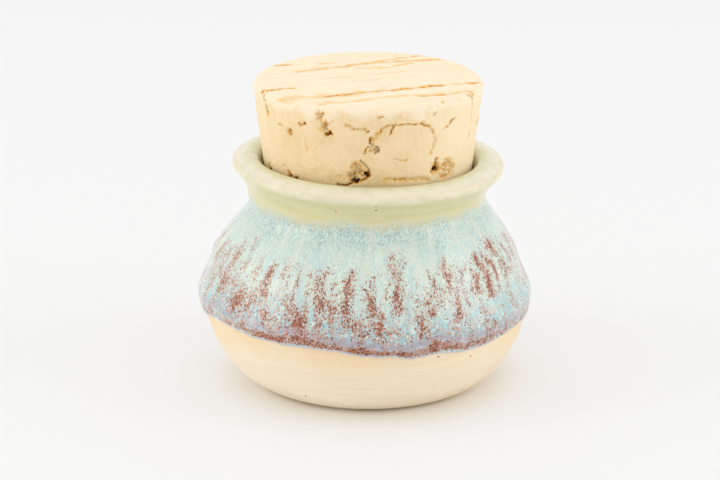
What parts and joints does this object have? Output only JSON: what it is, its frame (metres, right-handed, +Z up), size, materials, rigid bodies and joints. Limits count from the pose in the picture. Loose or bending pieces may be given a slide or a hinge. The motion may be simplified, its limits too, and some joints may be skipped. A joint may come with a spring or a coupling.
{
  "type": "ceramic jar with cork lid",
  "caption": "Squat round-bellied stoneware jar with a flared lip, glazed above and bare clay below, closed by a wide tapered cork stopper.",
  "frame": {"origin": "centre of the flat base that the jar stands on", "axes": "+Z up, along the axis that the jar and the cork were turned about"},
  "size_m": [0.083, 0.083, 0.0768],
  "materials": {
    "glaze": "gloss glaze, cream at the lip, pale aqua on the body, red-brown speckled towards its lower edge",
    "bare_clay": "unglazed cream stoneware, matt, with fine throwing lines",
    "cork": "natural cork, sanded, with dark pores and growth cracks"
  },
  "bodies": {
    "root": {"jar": "glaze", "cork": "cork"}
  },
  "joints": []
}
